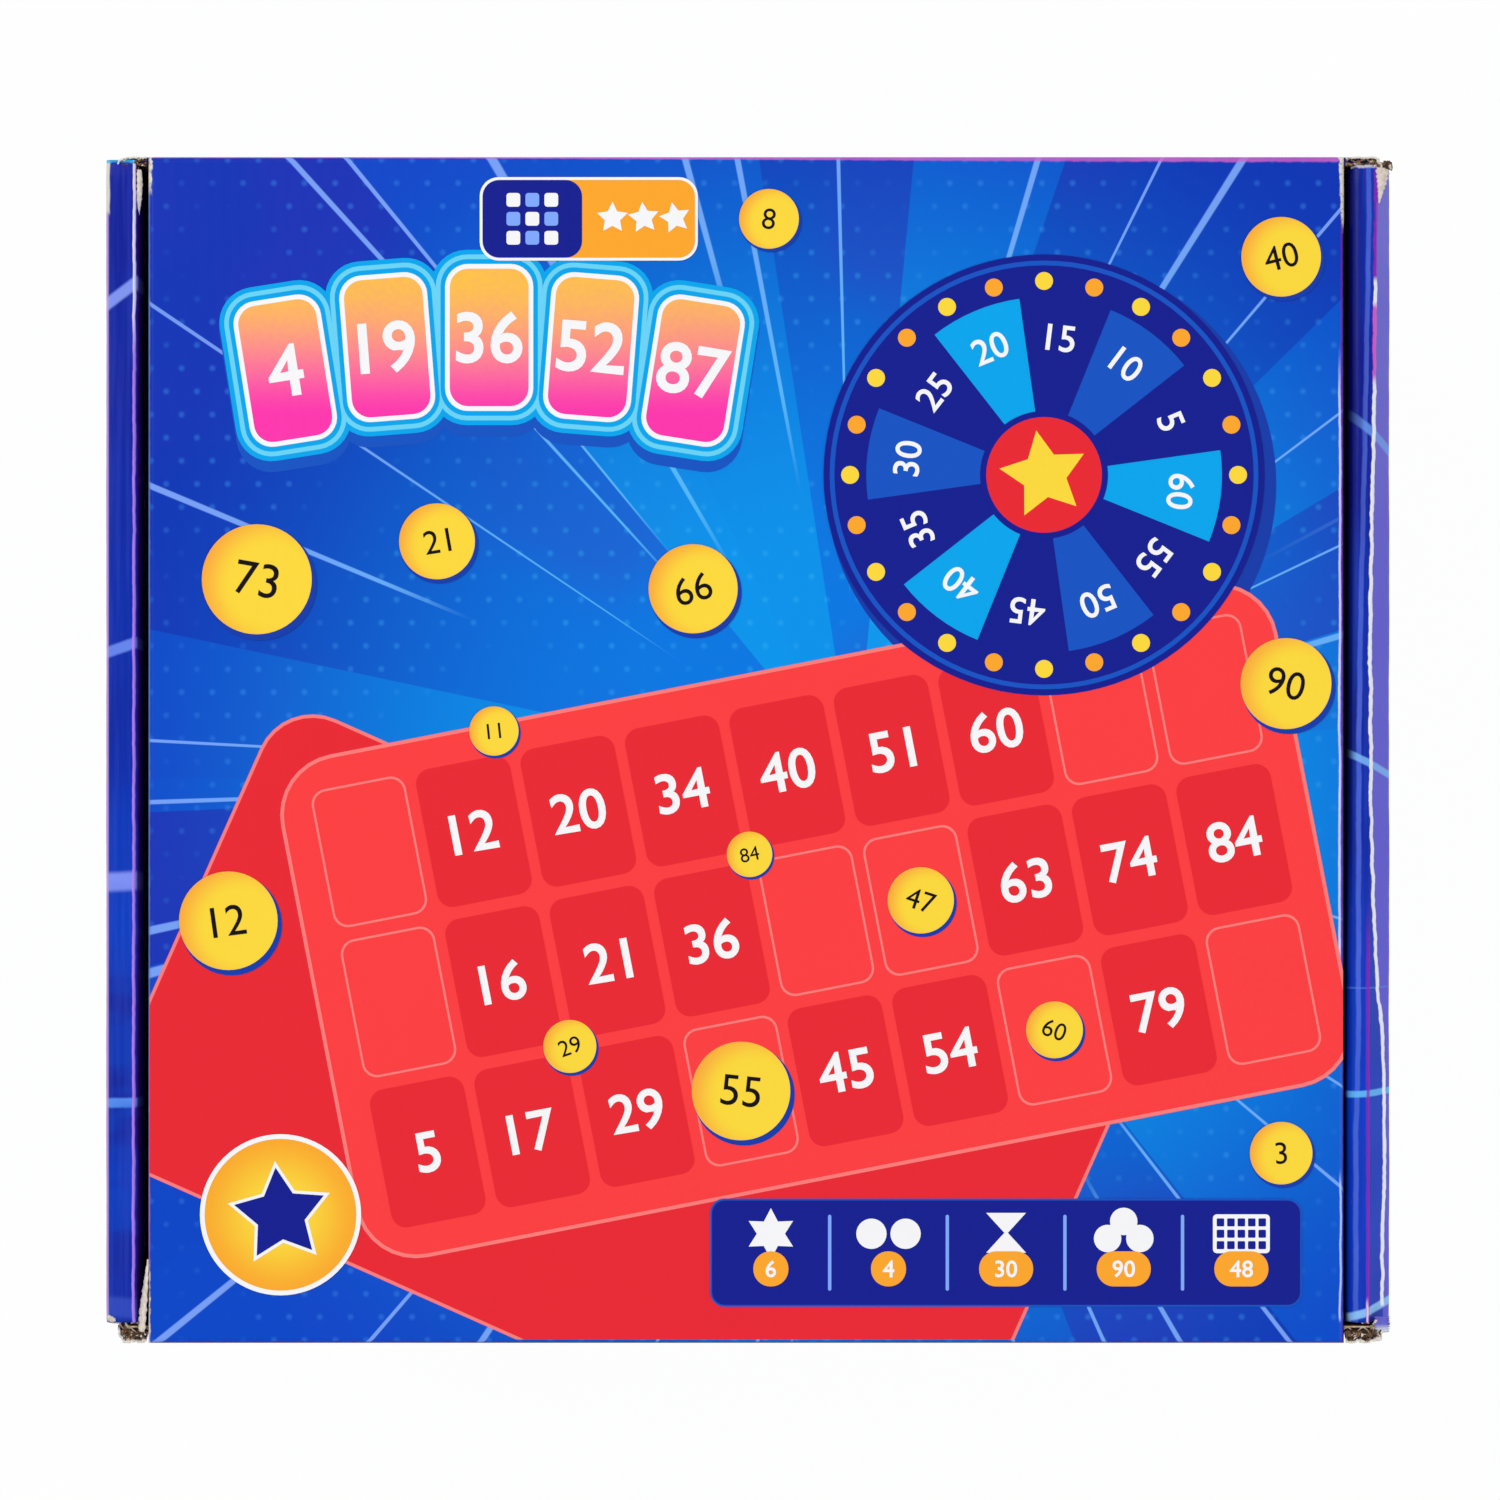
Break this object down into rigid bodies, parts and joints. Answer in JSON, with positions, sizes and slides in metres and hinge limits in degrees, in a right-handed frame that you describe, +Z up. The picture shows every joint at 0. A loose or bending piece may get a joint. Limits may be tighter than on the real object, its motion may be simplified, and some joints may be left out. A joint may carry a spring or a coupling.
{
  "type": "bingo game",
  "caption": "Boxed bingo game: hinged board carton holding a crank-turned ball cage on legs, numbered tray, balls and cards.",
  "frame": {"origin": "centre of the closed carton's bounding box, on the face it lies on", "axes": "+Z up through the lid, +Y to the lid's hinge, +X to the crank"},
  "size_m": [0.272, 0.2504, 0.1419],
  "materials": {
    "printed_board": "glossy blue print on fluted board",
    "lid_board": "glossy print on fluted board",
    "flap_board": "printed outside, raw board inside",
    "raw_board": "raw brown fluted board",
    "tray_plastic": "glossy red",
    "cage_plastic": "glossy blue",
    "pin_steel": "brushed",
    "knob_plastic": "glossy red",
    "ball_plastic": "glossy yellow with black numbers",
    "card_stock": "coated card",
    "band_paper": "matt",
    "sheet_paper": "matt"
  },
  "bodies": {
    "carton": {"base_panel": "printed_board", "hinge_wall": "printed_board", "front_wall": "printed_board", "hinge_wall_ears": "raw_board", "front_wall_ears": "raw_board", "left_wall_outer": "printed_board", "left_wall_inner": "raw_board", "right_wall_outer": "printed_board", "right_wall_inner": "raw_board", "number_tray": "tray_plastic", "left_leg": "cage_plastic", "right_leg": "cage_plastic", "numbered_balls": "ball_plastic", "bingo_cards": "card_stock", "card_band": "band_paper", "instruction_sheet": "sheet_paper"},
    "lid": {"lid_panel": "lid_board"},
    "front_flap": {"lid_front_flap": "printed_board"},
    "left_dust_flap": {"lid_left_dust_flap": "flap_board"},
    "right_dust_flap": {"lid_right_dust_flap": "flap_board"},
    "cage": {"left_cage_band": "cage_plastic", "left_cage_bars": "cage_plastic", "left_cage_hub": "cage_plastic", "right_cage_band": "cage_plastic", "right_cage_bars": "cage_plastic", "right_cage_hub": "cage_plastic", "cage_clips": "cage_plastic", "ball_spout": "cage_plastic", "crank": "cage_plastic", "knob_pin": "pin_steel"},
    "knob": {"crank_knob": "knob_plastic"}
  },
  "joints": [
    {"name": "lid_hinge", "type": "hinge", "parent": "carton", "child": "lid", "pos_m": [0, 0.1252, 0.14], "axis": [-1, 0, 0], "range_deg": [0, 180]},
    {"name": "front_flap_crease", "type": "hinge", "parent": "lid", "child": "front_flap", "pos_m": [0, -0.1252, 0.14], "axis": [-1, 0, 0], "range_deg": [0, 90]},
    {"name": "left_dust_flap_crease", "type": "hinge", "parent": "lid", "child": "left_dust_flap", "pos_m": [-0.1254, 0, 0.14], "axis": [0, -1, 0], "range_deg": [0, 85]},
    {"name": "right_dust_flap_crease", "type": "hinge", "parent": "lid", "child": "right_dust_flap", "pos_m": [0.1238, 0, 0.14], "axis": [0, 1, 0], "range_deg": [0, 85]},
    {"name": "cage_spin", "type": "hinge", "parent": "carton", "child": "cage", "pos_m": [0, 0.06, 0.0766], "axis": [1, 0, 0], "continuous": true},
    {"name": "knob_spin", "type": "hinge", "parent": "cage", "child": "knob", "pos_m": [0.087, 0.06, 0.0496], "axis": [1, 0, 0], "continuous": true}
  ]
}
